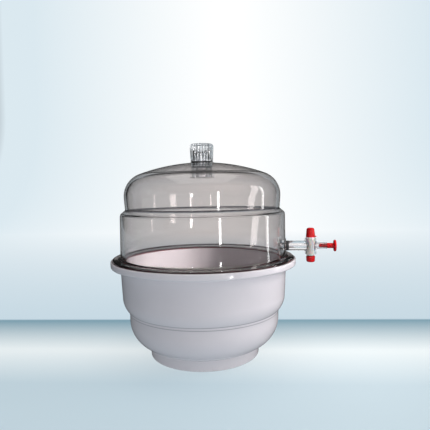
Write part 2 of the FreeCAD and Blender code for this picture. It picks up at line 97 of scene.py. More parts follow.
def without_repeats(outline):
    kept = [outline[0]]
    for p in outline[1:]:
        if math.dist(p, kept[-1]) > SAME_POINT:
            kept.append(p)
    return kept


def lathe_mesh(outline, segments, closed=False, wobble=None):
    """Vertices and faces, in metres, of an outline (r, z) in mm turned about Z."""
    outline = without_repeats(outline)
    if closed and math.dist(outline[0], outline[-1]) < SAME_POINT:
        outline = outline[:-1]
    verts = []
    rows = []
    for r, z in outline:
        if r < ON_AXIS:
            rows.append([len(verts)] * segments)
            verts.append((0, 0, z * MM))
            continue
        rows.append(list(range(len(verts), len(verts) + segments)))
        for j in range(segments):
            a = 2 * math.pi * j / segments
            rr = (r + wobble(a, r, z)) * MM if wobble else r * MM
            verts.append((rr * math.cos(a), rr * math.sin(a), z * MM))
    faces = []
    pairs = list(zip(rows, rows[1:]))
    if closed:
        pairs.append((rows[-1], rows[0]))
    for low, high in pairs:
        for j in range(segments):
            k = (j + 1) % segments
            quad = []
            for v in (low[j], low[k], high[k], high[j]):
                if v not in quad:
                    quad.append(v)
            if len(quad) > 2:
                faces.append(quad)
    return verts, faces


def shade(mesh, sharp_deg):
    """Smooth faces, with edges sharper than the angle kept crisp."""
    mesh.polygons.foreach_set("use_smooth", [True] * len(mesh.polygons))
    mesh.set_sharp_from_angle(angle=math.radians(sharp_deg))


def make_piece(name, verts, faces, sharp_deg=38.0):
    mesh = bpy.data.meshes.new(name)
    mesh.from_pydata(verts, [], faces)
    bm = bmesh.new()
    bm.from_mesh(mesh)
    bmesh.ops.recalc_face_normals(bm, faces=bm.faces)
    bm.to_mesh(mesh)
    bm.free()
    shade(mesh, sharp_deg)
    piece = bpy.data.objects.new(name, mesh)
    bpy.context.scene.collection.objects.link(piece)
    return piece


def lathe(name, outline, segments=128, closed=False, wobble=None, sharp_deg=38.0):
    verts, faces = lathe_mesh(outline, segments, closed, wobble)
    return make_piece(name, verts, faces, sharp_deg)


def lay_along_x(piece, x_mm, z_mm):
    """Turns a piece built about Z so that its Z runs along +X from (x, 0, z)."""
    turn = Matrix(((0, 0, 1, x_mm * MM), (0, 1, 0, 0), (-1, 0, 0, z_mm * MM), (0, 0, 0, 1)))
    piece.data.transform(turn)


def shift_x(piece, x_mm):
    piece.data.transform(Matrix.Translation((x_mm * MM, 0, 0)))


def combine(piece, other, operation):
    """Applies a boolean between piece and other, which is then removed."""
    modifier = piece.modifiers.new("combine", "BOOLEAN")
    modifier.operation = operation
    modifier.solver = "EXACT"
    modifier.object = other
    bpy.context.view_layer.update()
    graph = bpy.context.evaluated_depsgraph_get()
    mesh = bpy.data.meshes.new_from_object(piece.evaluated_get(graph))
    piece.modifiers.clear()
    old = piece.data
    piece.data = mesh
    bpy.data.meshes.remove(old)
    shade(mesh, 30)
    bpy.data.objects.remove(other)


def finish_piece(piece, body, material, node):
    piece.data.materials.clear()
    piece.data.materials.append(material)
    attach(piece, body)
    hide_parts(node)


# ---------------------------------------------------------------- sizes in mm, the places from the frame

def mm_box(node):
    low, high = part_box(node)
    return [v / MM for v in low], [v / MM for v in high]


bowl_high = mm_box("base_bowl")[1]
lid_low, lid_high = mm_box("lid")
knob_low, knob_high = mm_box("knob")
washer_low, washer_high = mm_box("knob_washer")
knob_nut_low, knob_nut_high = mm_box("knob_nut")
seal_low, seal_high = mm_box("seal_ring")
gel_low, gel_high = mm_box("silica_gel")
wall_washer_low, wall_washer_high = mm_box("wall_washer")
inner_washer_low, inner_washer_high = mm_box("inner_washer")
key_low, key_high = mm_box("stopcock_key")
key_nut_low, key_nut_high = mm_box("key_nut")
outlet_low, outlet_high = mm_box("outlet_plug")

RIM_REACH = 18.7
RIM_THICKNESS = 6.3
LIP_HEIGHT = 1.7
LIP_WIDTH = 2.2
SEAL_MARGIN = 1.5
UPPER_WALL = 6.6
UPPER_TAPER = 1.8
STEP_WIDTH = 8.4
LOWER_WALL = 4.5
CORNER_ARC = 36.0
FOOT_TOP = 14.0
FOOT_INSET = 0.9
FOOT_TAPER = 1.0
FOOT_WIDTH = 5.5
BEAD_Z = 57.0
BEAD_PROUD = 0.7
STEP_Z = 60.2
SHOULDER_HEIGHT = 18.0
SHOULDER_ARC = 27.0
DRAFT_LOW_Z = 89.0
DRAFT_HIGH_Z = 102.0
LEDGE_Z = 72.0
LEDGE_MARGIN = 1.6

LID_T = 4.0
LID_OVERLAP = 5.8
LID_WALL_HEIGHT = 59.1
NECK_HEIGHT = 5.2
NECK_WIDTH = 6.7
NECK_SPREAD = 1.2
KNUCKLE_ARC = 30.0
KNUCKLE_RISE = 17.0
KNUCKLE_END_DEG = -4.3
CROWN_ARC = 235.0
FLANGE_T = 3.4
WALL_DRAFT = 0.2
WALL_MIDDLE = 35.0
WALL_FOOT = 15.9
STEM_HOLE_R = 5.1
STOPCOCK_HOLE_R = 5.0
WASHER_BORE_R = 5.05

FLUTES = 24
HOLLOW_R = 12.65
FLUTE_FLOOR_R = 13.0
CAP_IN_R = 11.7
KEY_R = 5.6
KEY_TOP_R = 4.7
KEY_NUT_R = 5.5

RIM_R = bowl_high[1]
RIM_LIP_TOP = bowl_high[2]
RIM_TOP = RIM_LIP_TOP - LIP_HEIGHT
RIM_BOTTOM = RIM_TOP - RIM_THICKNESS
MOUTH_R = RIM_R - RIM_REACH
SEAL_R = (seal_high[1] + MOUTH_R + SEAL_MARGIN) / 2
SEAL_SECTION = (seal_high[2] - seal_low[2]) / 2
SEAL_Z = (seal_high[2] + seal_low[2]) / 2
UPPER_TOP_R = MOUTH_R + UPPER_WALL
UPPER_LOW_R = UPPER_TOP_R - UPPER_TAPER
LOWER_R = UPPER_LOW_R - STEP_WIDTH
LOWER_IN_R = LOWER_R - LOWER_WALL
CORNER_R = LOWER_R - CORNER_ARC
CORNER_Z = gel_low[2] - LOWER_WALL + CORNER_ARC
LID_Z = lid_low[2]
FLANGE_R = lid_high[1]
LAND_Z = lid_high[2]
WALL_R = MOUTH_R + LID_OVERLAP
NECK_Z = LID_Z + LID_WALL_HEIGHT + NECK_HEIGHT
BARREL_X = (key_nut_low[0] + key_nut_high[0]) / 2
COCK_Z = (wall_washer_low[2] + wall_washer_high[2]) / 2


# ---------------------------------------------------------------- material helpers

class Finish:
    """A material under construction: adds nodes from left to right."""

    FIRST_X = -1400
    STEP_X = 40
    STEP_Y = -60

    def __init__(self, name):
        self.material = bpy.data.materials.new(name)
        self.material.use_nodes = True
        self.tree = self.material.node_tree
        self.shader = self.tree.nodes["Principled BSDF"]
        self.output = self.tree.nodes["Material Output"]
        self.coords = self.tree.nodes.new("ShaderNodeTexCoord").outputs["Object"]
        self.count = 0

    def node(self, kind, **settings):
        made = self.tree.nodes.new(kind)
        self.count += 1
        made.location = (self.FIRST_X + self.STEP_X * self.count, self.STEP_Y * self.count)
        for key, value in settings.items():
            setattr(made, key, value)
        return made

    def feed(self, socket, value):
        """A number, a colour or a vector is set on the socket, and an output is linked to it."""
        if isinstance(value, (int, float)):
            socket.default_value = value
        elif isinstance(value, tuple):
            socket.default_value = (*value, 1) if socket.type == "RGBA" else value
        else:
            self.tree.links.new(value, socket)

    def scaled(self, factors):
        made = self.node("ShaderNodeMapping")
        self.feed(made.inputs["Vector"], self.coords)
        self.feed(made.inputs["Scale"], factors)
        return made.outputs["Vector"]

    def noise(self, scale, detail=3.0, rough=0.5, factors=None):
        made = self.node("ShaderNodeTexNoise")
        self.feed(made.inputs["Vector"], self.scaled(factors) if factors else self.coords)
        self.feed(made.inputs["Scale"], scale)
        self.feed(made.inputs["Detail"], detail)
        self.feed(made.inputs["Roughness"], rough)
        return made.outputs["Fac"]

    def spread(self, value, from_low, from_high, to_low=0.0, to_high=1.0):
        made = self.node("ShaderNodeMapRange")
        self.feed(made.inputs["Value"], value)
        self.feed(made.inputs["From Min"], from_low)
        self.feed(made.inputs["From Max"], from_high)
        self.feed(made.inputs["To Min"], to_low)
        self.feed(made.inputs["To Max"], to_high)
        return made.outputs["Result"]

    def maths(self, operation, a, b=0.0):
        made = self.node("ShaderNodeMath", operation=operation)
        self.feed(made.inputs[0], a)
        self.feed(made.inputs[1], b)
        return made.outputs["Value"]

    def mixed(self, fraction, a, b):
        made = self.node("ShaderNodeMix", data_type="RGBA")
        self.feed(made.inputs["Factor"], fraction)
        for name, value in (("A", a), ("B", b)):
            self.feed([s for s in made.inputs if s.name == name and s.type == "RGBA"][0], value)
        return [s for s in made.outputs if s.type == "RGBA"][0]

    def mottled(self, scale, detail, rough, dark, light):
        """A colour that drifts between two close ones."""
        return self.mixed(self.spread(self.noise(scale, detail, rough), 0.3, 0.7), dark, light)

    def patchy(self, scale, detail, rough, low, high):
        """A value that drifts between two levels."""
        return self.spread(self.noise(scale, detail, rough), 0.3, 0.7, low, high)

    def axes(self):
        split = self.node("ShaderNodeSeparateXYZ")
        self.feed(split.inputs["Vector"], self.coords)
        return split.outputs["X"], split.outputs["Y"], split.outputs["Z"]

    def near(self, value, middle, half_width, peak=1.0):
        """Peak at the middle value, falling to nothing at half_width either side."""
        off = self.maths("ABSOLUTE", self.maths("SUBTRACT", value, middle))
        return self.spread(off, half_width * 0.3, half_width, peak, 0.0)

    def bump(self, height, distance, strength):
        made = self.node("ShaderNodeBump")
        self.feed(made.inputs["Height"], height)
        self.feed(made.inputs["Distance"], distance)
        self.feed(made.inputs["Strength"], strength)
        return made.outputs["Normal"]

    def set(self, **values):
        for key, value in values.items():
            self.feed(self.shader.inputs[key.replace("_", " ")], value)

    def absorb(self, colour, density):
        made = self.node("ShaderNodeVolumeAbsorption")
        self.feed(made.inputs["Color"], colour)
        self.feed(made.inputs["Density"], density)
        self.feed(self.output.inputs["Volume"], made.outputs["Volume"])


# ---------------------------------------------------------------- materials

def white_polypropylene():
    """Glossy white moulding with painted shade in the corners of its step and foot, scuffs and fine specks.
    """
    f = Finish("white_polypropylene")
    colour = f.mottled(14, 3, 0.55, (0.62, 0.575, 0.605), (0.655, 0.61, 0.64))
    z = f.axes()[2]
    scuffs = f.spread(f.noise(180, 5, 0.7), 0.5, 0.65, 0.0, 0.4)
    grime = f.maths("MULTIPLY", f.spread(z, 0.0, 0.006, 1.0, 0.0), scuffs)
    colour = f.mixed(grime, colour, (0.40, 0.385, 0.39))
    specks = f.spread(f.noise(650, 2, 0.5), 0.74, 0.80, 0.0, 0.5)
    colour = f.mixed(specks, colour, (0.38, 0.36, 0.37))
    # Painted shade: dark lines painted into the corners at the bead, the step and the foot's top.
    shaded_corners = ((BEAD_Z, 0.75, 0.85), (STEP_Z + 0.3, 0.75, 0.85), (FOOT_TOP + 0.2, 1.2, 0.9))
    for corner_z, half_width, depth in shaded_corners:
        corner_shade = f.near(z, corner_z * MM, half_width * MM, depth)
        colour = f.mixed(corner_shade, colour, (0.27, 0.25, 0.27))
    hairlines = f.spread(f.noise(90, 7, 0.8, (1, 1, 7)), 0.60, 0.70)
    rough = f.maths("ADD", f.patchy(70, 4, 0.6, 0.10, 0.15), f.maths("MULTIPLY", hairlines, 0.10))
    rough = f.maths("ADD", rough, f.maths("MULTIPLY", grime, 0.3))
    f.set(Base_Color=colour, Roughness=rough, Normal=f.bump(f.noise(520, 2, 0.5), 0.00002, 0.25), IOR=1.49,
          Subsurface_Weight=0.05, Subsurface_Scale=0.002, Subsurface_Radius=(1.0, 0.9, 0.95))
    return f.material


def satin_polypropylene():
    f = Finish("satin_polypropylene")
    f.set(Base_Color=f.mottled(30, 4, 0.6, (0.74, 0.73, 0.72), (0.80, 0.79, 0.78)),
          Roughness=f.patchy(160, 4, 0.6, 0.38, 0.52),
          Normal=f.bump(f.noise(900, 3, 0.6), 0.00005, 0.4), IOR=1.49)
    return f.material


def painted_neck_shade(f, colour):
    """Painted shade: the lid's neck is painted as a dark ring."""
    ring = f.near(f.axes()[2], (NECK_Z + 0.1) * MM, 1.5 * MM)
    return f.mixed(ring, colour, (0.12, 0.115, 0.13))


def painted_flute_shade(f, colour):
    """Painted shade: the flutes' valleys are painted darker than their ridges, outside the cap's hollow only.
    """
    x, y, _ = f.axes()
    valley = f.maths("COSINE", f.maths("MULTIPLY", f.maths("ARCTAN2", y, x), FLUTES))
    square = f.maths("ADD", f.maths("MULTIPLY", x, x), f.maths("MULTIPLY", y, y))
    outside = f.spread(square, (HOLLOW_R * MM) ** 2, (FLUTE_FLOOR_R * MM) ** 2)
    depth = f.maths("MULTIPLY", f.spread(valley, 0.0, 0.9, 0.0, 0.9), outside)
    return f.mixed(depth, colour, (0.42, 0.415, 0.43))


def clear_plastic(name, density, rough_low, rough_high, tint, extra=None):
    f = Finish(name)
    haze = f.spread(f.noise(48, 5, 0.65), 0.35, 0.75, rough_low, rough_high)
    hairlines = f.spread(f.noise(120, 6, 0.8, (1, 1, 9)), 0.62, 0.72)
    rough = f.maths("ADD", haze, f.maths("MULTIPLY", hairlines, 0.05))
    ripple = f.bump(f.noise(22, 2, 0.5, (1, 1, 0.35)), 0.0002, 0.06)
    colour = f.mixed(hairlines, tint, tuple(c * 0.985 for c in tint))
    if extra:
        colour = extra(f, colour)
    f.set(Base_Color=colour, Roughness=rough, Normal=ripple, IOR=1.57, Transmission_Weight=1.0)
    f.absorb((0.50, 0.475, 0.465), density)
    return f.material


def rubber(name, dark, light, rough_low, rough_high):
    f = Finish(name)
    f.set(Base_Color=f.mottled(240, 4, 0.6, dark, light),
          Roughness=f.patchy(500, 3, 0.6, rough_low, rough_high),
          Normal=f.bump(f.noise(1500, 2, 0.5), 0.00003, 0.4))
    return f.material


def ptfe():
    """Turned white PTFE with fine tool rings."""
    f = Finish("white_ptfe")
    rings = f.node("ShaderNodeTexWave", wave_type="BANDS", bands_direction="Z")
    f.feed(rings.inputs["Vector"], f.coords)
    f.feed(rings.inputs["Scale"], 900)
    f.feed(rings.inputs["Distortion"], 1.5)
    f.set(Base_Color=f.mottled(300, 3, 0.5, (0.78, 0.76, 0.755), (0.84, 0.82, 0.815)),
          Roughness=f.patchy(700, 2, 0.5, 0.32, 0.45),
          Normal=f.bump(rings.outputs["Fac"], 0.00003, 0.3), IOR=1.38,
          Subsurface_Weight=0.35, Subsurface_Scale=0.0015)
    return f.material


def red_plastic():
    f = Finish("red_plastic")
    f.set(Base_Color=f.mottled(180, 4, 0.6, (0.34, 0.001, 0.002), (0.41, 0.002, 0.004)),
          Roughness=f.patchy(420, 4, 0.6, 0.20, 0.34),
          Normal=f.bump(f.noise(800, 2, 0.5), 0.00004, 0.35), IOR=1.38,
          Subsurface_Weight=0.06, Subsurface_Scale=0.001, Subsurface_Radius=(1.0, 0.1, 0.1))
    return f.material


def gel_beads():
    """Orange indicating gel: every bead has its own shade."""
    f = Finish("silica_gel_beads")
    island = f.node("ShaderNodeNewGeometry").outputs["Random Per Island"]
    colour = f.mixed(island, (0.78, 0.36, 0.06), (0.86, 0.52, 0.16))
    pale = f.spread(f.noise(900, 3, 0.6), 0.45, 0.7, 0, 0.4)
    colour = f.mixed(pale, colour, (0.90, 0.72, 0.45))
    f.set(Base_Color=colour, Roughness=f.spread(island, 0, 1, 0.12, 0.30), IOR=1.46,
          Normal=f.bump(f.noise(1800, 2, 0.5), 0.00003, 0.3), Subsurface_Weight=0.4, Subsurface_Scale=0.0015)
    return f.material


SMOKY = (0.955, 0.925, 0.92)
WATER_CLEAR = (0.995, 0.99, 1.0)
WHITE_PP = white_polypropylene()
SATIN_PP = satin_polypropylene()
# The lid's clear material carries a ring of painted shade on its neck.
CLEAR_LID = clear_plastic("clear_polycarbonate", 100, 0.02, 0.05, SMOKY, painted_neck_shade)
# The knob's clear material carries painted shade in its flute valleys.
CLEAR_KNOB = clear_plastic("clear_knob_plastic", 8, 0.008, 0.03, WATER_CLEAR, painted_flute_shade)
CLEAR_NUT = clear_plastic("clear_nut_plastic", 3, 0.008, 0.03, WATER_CLEAR)
CLEAR_COCK = clear_plastic("clear_stopcock_plastic", 4, 0.04, 0.10, (0.99, 0.955, 0.95))
MAROON = rubber("maroon_silicone", (0.17, 0.030, 0.045), (0.22, 0.045, 0.060), 0.30, 0.45)
BLACK = rubber("black_rubber", (0.020, 0.020, 0.021), (0.045, 0.045, 0.047), 0.35, 0.55)
PTFE = ptfe()
RED = red_plastic()
BEADS = gel_beads()


# ---------------------------------------------------------------- base

def base_bowl():
    corner_deg = -math.degrees(math.asin((CORNER_Z - FOOT_TOP) / CORNER_ARC))
    corner_r = CORNER_R + CORNER_ARC * math.cos(math.radians(corner_deg))
    step_deg = -math.degrees(math.asin(SHOULDER_HEIGHT / SHOULDER_ARC))
    shoulder_r = UPPER_LOW_R - SHOULDER_ARC
    shoulder_z = STEP_Z + SHOULDER_HEIGHT
    step_r = shoulder_r + SHOULDER_ARC * math.cos(math.radians(step_deg))
    floor_under = CORNER_Z - CORNER_ARC
    foot_top = corner_r - FOOT_INSET
    foot = foot_top - FOOT_TAPER
    foot_in = foot - FOOT_WIDTH
    lip_in = RIM_R - LIP_WIDTH
    bead_r = LOWER_R + BEAD_PROUD
    groove_half = SEAL_SECTION + 0.1
    groove_z = SEAL_Z - SEAL_SECTION
    recess_loop = 14.0
    wall_loop = 4.4
    outline = path([(0, floor_under), (foot_in - recess_loop, floor_under), (foot_in, floor_under, 2.0),
                    (foot_in, 0, 0.8), (foot, 0, 1.0), (foot_top, FOOT_TOP, 0.25), (corner_r, FOOT_TOP)])
    outline += arc(CORNER_R, CORNER_Z, CORNER_ARC, corner_deg, 0, 3)
    outline += path([(LOWER_R, CORNER_Z), (LOWER_R, BEAD_Z - wall_loop), (LOWER_R, BEAD_Z, 0.2),
                     (bead_r, BEAD_Z, 0.2), (bead_r, STEP_Z, 0.2),
                     (step_r, STEP_Z, 0.25), (step_r + 0.5, STEP_Z + 0.6)], 3)
    outline += arc(shoulder_r, shoulder_z, SHOULDER_ARC, step_deg + 2.2, 0, 3)
    outline += path([(UPPER_LOW_R, shoulder_z), (UPPER_LOW_R + UPPER_TAPER / 3, DRAFT_LOW_Z),
                     (UPPER_LOW_R + UPPER_TAPER * 2 / 3, DRAFT_HIGH_Z), (UPPER_TOP_R, RIM_BOTTOM, 2.0),
                     (RIM_R, RIM_BOTTOM, 2.4), (RIM_R, RIM_LIP_TOP, 1.0), (lip_in, RIM_LIP_TOP, 0.5),
                     (lip_in, RIM_TOP, 0.3), (SEAL_R + groove_half, RIM_TOP, 0.2),
                     (SEAL_R + groove_half, groove_z, 0.3), (SEAL_R - groove_half, groove_z, 0.3),
                     (SEAL_R - groove_half, RIM_TOP, 0.2), (MOUTH_R, RIM_TOP, 0.4),
                     (MOUTH_R - LEDGE_MARGIN, LEDGE_Z, 0.4), (LOWER_IN_R, LEDGE_Z, 0.5),
                     (LOWER_IN_R, CORNER_Z)])
    outline += arc(CORNER_R, CORNER_Z, CORNER_ARC - LOWER_WALL, 0, -90, 4)
    outline += [(30, floor_under + LOWER_WALL), (0, floor_under + LOWER_WALL)]
    piece = lathe("bowl_moulding", outline, 256, sharp_deg=50)
    finish_piece(piece, "base", WHITE_PP, "base_bowl")


def seal_ring():
    """A round cord whose top is raised a little, so that it presses on the flange above it."""
    crest = 1.28
    outline = [(SEAL_R + r, SEAL_Z + max(z, crest * z)) for r, z in arc(0, 0, SEAL_SECTION, 0, 360, 18)]
    piece = lathe("seal_ring_cord", outline, 256, closed=True)
    finish_piece(piece, "base", MAROON, "seal_ring")


def gel_bed():
    """A core with loose beads packed over its heaped top."""
    rng = random.Random(7)
    bead_r = 1.75
    heap_rise = 3.0
    jitter = 0.22
    floor_z = gel_low[2]
    heap_z = gel_high[2]
    edge_z = heap_z - heap_rise
    edge_r = gel_high[0]
    heap_r = (edge_r ** 2 + heap_rise ** 2) / (2 * heap_rise)
    core_drop = 2.2 * bead_r
    inner_arc = CORNER_ARC - LOWER_WALL
    edge_deg = -math.degrees(math.asin((CORNER_Z - edge_z + core_drop) / inner_arc))
    outline = [(0, floor_z), (CORNER_R, floor_z)]
    outline += arc(CORNER_R, CORNER_Z, inner_arc, -90, edge_deg, 5)
    outline += [(60, edge_z + 1.2 - core_drop), (30, edge_z + 2.6 - core_drop), (0, heap_z - core_drop)]
    verts, faces = lathe_mesh(outline, 96)
    ball = bmesh.new()
    bmesh.ops.create_icosphere(ball, subdivisions=1, radius=1.0)
    ball_verts = [v.co.copy() for v in ball.verts]
    ball_faces = [[v.index for v in face.verts] for face in ball.faces]
    ball.free()
    pitch = bead_r * 2.06
    row_pitch = pitch * 0.866
    rows = int(edge_r / row_pitch) + 1
    for layer in range(2):
        for i in range(-rows, rows + 1):
            for j in range(-rows, rows + 1):
                x = (j + 0.5 * (i % 2) + 0.33 * layer) * pitch + rng.uniform(-jitter, jitter) * bead_r
                y = (i + 0.5 * layer) * row_pitch + rng.uniform(-jitter, jitter) * bead_r
                r = math.hypot(x, y)
                size = bead_r * rng.uniform(0.80, 1.0)
                if r > edge_r - 1.1 * bead_r - 2.2 * layer:
                    continue
                surface = heap_z - heap_r + math.sqrt(heap_r ** 2 - r ** 2)
                z = surface - size - layer * 1.45 * bead_r - rng.uniform(0, 0.35) * bead_r
                start = len(verts)
                tilt = rng.uniform(0, math.pi)
                c, s = math.cos(tilt), math.sin(tilt)
                for v in ball_verts:
                    verts.append(((x + size * (v.x * c - v.y * s)) * MM,
                                  (y + size * (v.x * s + v.y * c)) * MM, (z + size * v.z) * MM))
                faces += [[start + k for k in face] for face in ball_faces]
    piece = make_piece("gel_bead_bed", verts, faces, 60)
    finish_piece(piece, "base", BEADS, "silica_gel")


# ---------------------------------------------------------------- lid

def bell(inset):
    """Outline from the apex down to the wall's foot of the lid's face moved inwards by inset."""
    slant = math.hypot(NECK_WIDTH, NECK_HEIGHT)
    drop = inset * (slant - NECK_HEIGHT) / NECK_WIDTH
    neck_r = WALL_R - NECK_WIDTH
    knuckle_r = neck_r + NECK_SPREAD - KNUCKLE_ARC
    knuckle_z = NECK_Z + KNUCKLE_RISE
    knuckle_arc = KNUCKLE_ARC - inset
    crown_z = knuckle_z - math.sqrt((CROWN_ARC - KNUCKLE_ARC) ** 2 - knuckle_r ** 2)
    tangent_deg = math.degrees(math.atan2(knuckle_z - crown_z, knuckle_r))
    end = math.radians(KNUCKLE_END_DEG)
    outline = arc(0, crown_z, CROWN_ARC - inset, 90, tangent_deg, 1.5)
    outline += arc(knuckle_r, knuckle_z, knuckle_arc, tangent_deg, KNUCKLE_END_DEG, 4)
    corners = [(knuckle_r + knuckle_arc * math.cos(end), knuckle_z + knuckle_arc * math.sin(end)),
               (neck_r - inset, NECK_Z - drop, 2.0 + inset),
               (WALL_R - inset, NECK_Z - NECK_HEIGHT - drop, 6.0 - inset),
               (WALL_R + WALL_DRAFT - inset, LID_Z + WALL_MIDDLE),
               (WALL_R + 2 * WALL_DRAFT - inset, LID_Z + WALL_FOOT)]
    wall_foot_r = WALL_R + 3 * WALL_DRAFT - inset
    if not inset:
        flange_top = LID_Z + FLANGE_T
        corners += [(wall_foot_r, flange_top, 3.0), (FLANGE_R, flange_top, 1.2), (FLANGE_R, LID_Z, 0.6)]
    return outline + path(corners + [(wall_foot_r, LID_Z)], 8)


def lid_shell():
    """The bell, with a flat land for the knob and a pad with a bore for the stopcock."""
    land_r = 16.0
    land_edge = 0.3
    land_in_r = 14.5
    land_in_z = knob_nut_high[2]
    pad_r = 9.0
    pad_reach = 5.45
    bore_back = -6
    bore_ahead = 14
    outline = [(STEM_HOLE_R, LAND_Z), (land_r, LAND_Z), (land_r + land_edge, LAND_Z - land_edge)]
    outline += [p for p in bell(0) if p[0] > land_r + 1.5]
    outline += [p for p in reversed(bell(LID_T)) if p[0] > land_in_r + 1.1]
    outline += [(land_in_r + land_edge, land_in_z + land_edge / 2), (land_in_r, land_in_z),
                (STEM_HOLE_R, land_in_z)]
    piece = lathe("lid_moulding", outline, 256, closed=True, sharp_deg=32)
    pad = lathe("pad", path([(0, 0), (pad_r, 0, 0.3), (pad_r, pad_reach, 0.4), (0, pad_reach)], 4), 64)
    bore = lathe("bore", [(0, bore_back), (STOPCOCK_HOLE_R, bore_back),
                          (STOPCOCK_HOLE_R, bore_ahead), (0, bore_ahead)], 64)
    for tool, operation in ((pad, "UNION"), (bore, "DIFFERENCE")):
        lay_along_x(tool, inner_washer_high[0], COCK_Z)
        combine(piece, tool, operation)
    finish_piece(piece, "lid", CLEAR_LID, "lid")


def knob():
    """A hollow fluted cap with a stem down its middle."""
    low = washer_high[2]
    top = knob_high[2]
    stem_low = knob_low[2]
    cap = top - 9.0
    stem_r = 5.0
    flute_start = low + 0.9
    flute_runout = 1.2
    flute_depth = 0.85
    flute_half_width = 1.7

    def flutes(angle, r, z):
        if r < FLUTE_FLOOR_R or z < flute_start:
            return 0.0
        pitch = 2 * math.pi / FLUTES
        across = abs(((angle + pitch / 2) % pitch) - pitch / 2) * r
        groove = flute_depth * (0.5 + 0.5 * math.cos(math.pi * min(1.0, across / flute_half_width)))
        return -groove * min(1.0, (z - flute_start) / flute_runout)

    outline = path([(0, stem_low), (stem_r, stem_low, 0.6), (stem_r, low + 6.0), (stem_r, cap, 1.0),
                    (CAP_IN_R, cap, 1.0), (CAP_IN_R, low, 0.3), (14.5, low, 0.5), (14.55, low + 1.6),
                    (14.62, low + 3.4), (14.85, low + 10.0), (15.1, low + 16.0), (15.3, top - 0.7, 2.6),
                    (8.0, top - 0.18), (0, top)], 8)
    piece = lathe("knob_fluted", outline, FLUTES * 16, wobble=flutes, sharp_deg=45)
    finish_piece(piece, "lid", CLEAR_KNOB, "knob")


def knob_fixings():
    washer_r = 13.9
    outline = path([(STEM_HOLE_R + 0.05, washer_low[2]), (washer_r, washer_low[2], 0.35),
                    (washer_r, washer_high[2], 0.35), (STEM_HOLE_R + 0.05, washer_high[2]),
                    (STEM_HOLE_R + 0.05, washer_low[2])], 5)
    washer = lathe("knob_gasket", outline, 96, closed=True)
    finish_piece(washer, "lid", BLACK, "knob_washer")
    low, high = knob_nut_low[2], knob_nut_high[2]
    nut_r = 13.4
    flange_r = 15.8
    flange_top = low + 2.2
    outline = path([(STEM_HOLE_R, high), (STEM_HOLE_R, low), (flange_r, low, 0.5),
                    (flange_r, flange_top, 0.5), (nut_r, flange_top, 0.8), (nut_r, high, 0.3),
                    (STEM_HOLE_R, high)], 5)
    nut = lathe("knob_nut_flanged", outline, 128, closed=True)
    finish_piece(nut, "lid", CLEAR_NUT, "knob_nut")


# ---------------------------------------------------------------- stopcock

def wall_fixings():
    collar_r = 6.35
    length = wall_washer_high[0] - wall_washer_low[0]
    outline = path([(WASHER_BORE_R, 0, 0.2), (collar_r, 0, 0.7), (collar_r, length, 0.7),
                    (WASHER_BORE_R, length, 0.2), (WASHER_BORE_R, 0)], 6)
    collar = lathe("wall_gasket", outline, 72, closed=True)
    lay_along_x(collar, wall_washer_low[0], COCK_Z)
    finish_piece(collar, "lid", BLACK, "wall_washer")
    disc_r = 7.75
    length = inner_washer_high[0] - inner_washer_low[0]
    outline = path([(WASHER_BORE_R, 0), (disc_r, 0, 0.3), (disc_r, length, 0.3), (WASHER_BORE_R, length),
                    (WASHER_BORE_R, 0)], 4)
    disc = lathe("inner_gasket", outline, 72, closed=True)
    lay_along_x(disc, inner_washer_low[0], COCK_Z)
    finish_piece(disc, "lid", BLACK, "inner_washer")


def key_lug():
    """A small pointer that tapers outwards from the key's foot."""
    low = key_low[2]
    bm = bmesh.new()
    bmesh.ops.create_cube(bm, size=1.0)
    for v in bm.verts:
        outer = v.co.x > 0
        v.co.x = key_high[0] - BARREL_X if outer else 3.4
        v.co.y *= 1.7 if outer else 2.4
        v.co.z = low + (0.35 if v.co.z < 0 else (1.5 if outer else 2.8))
        v.co *= MM
    bmesh.ops.bevel(bm, geom=list(bm.edges), offset=0.4 * MM, segments=3, affect="EDGES")
    mesh = bpy.data.meshes.new("lug")
    bm.to_mesh(mesh)
    bm.free()
    lug = bpy.data.objects.new("lug", mesh)
    bpy.context.scene.collection.objects.link(lug)
    return lug


def key_cap():
    low, high = key_low[2], key_high[2]
    bore_r = 2.7
    bore_top = low + 7.0
    outline = path([(0, bore_top), (bore_r, bore_top), (bore_r, low), (KEY_R, low, 0.4), (5.57, low + 1.6),
                    (5.5, low + 3.0), (5.3, low + 5.2), (5.1, low + 7.2), (4.9, low + 9.0),
                    (KEY_TOP_R, high, 2.6), (0, high)], 8)
    piece = lathe("key_cap", outline, 96)
    combine(piece, key_lug(), "UNION")
    shift_x(piece, BARREL_X)
    finish_piece(piece, "key", RED, "stopcock_key")


def nut_cap():
    """A cap nut with fine ribs round its side."""
    low, high = key_nut_low[2], key_nut_high[2]
    bore_r = 2.9
    ribs_low = low + 1.6
    ribs_high = high - 1.0
    rib_count = 20
    rib_depth = 0.12

    def ribs(angle, r, z):
        if r < 4.4 or z > ribs_high or z < ribs_low:
            return 0.0
        return -rib_depth * max(0.0, math.cos(rib_count * angle)) ** 1.4

    outline = path([(0, low + 2.0), (bore_r, low + 2.0), (bore_r, high), (KEY_NUT_R, high, 0.4),
                    (KEY_NUT_R, high - 1.1), (KEY_NUT_R, high - 1.8), (5.4, low + 3.4), (5.3, low + 2.4),
                    (5.2, low, 1.9), (0, low)], 8)
    piece = lathe("key_nut_cap", outline, 120, wobble=ribs)
    shift_x(piece, BARREL_X)
    finish_piece(piece, "key", RED, "key_nut")


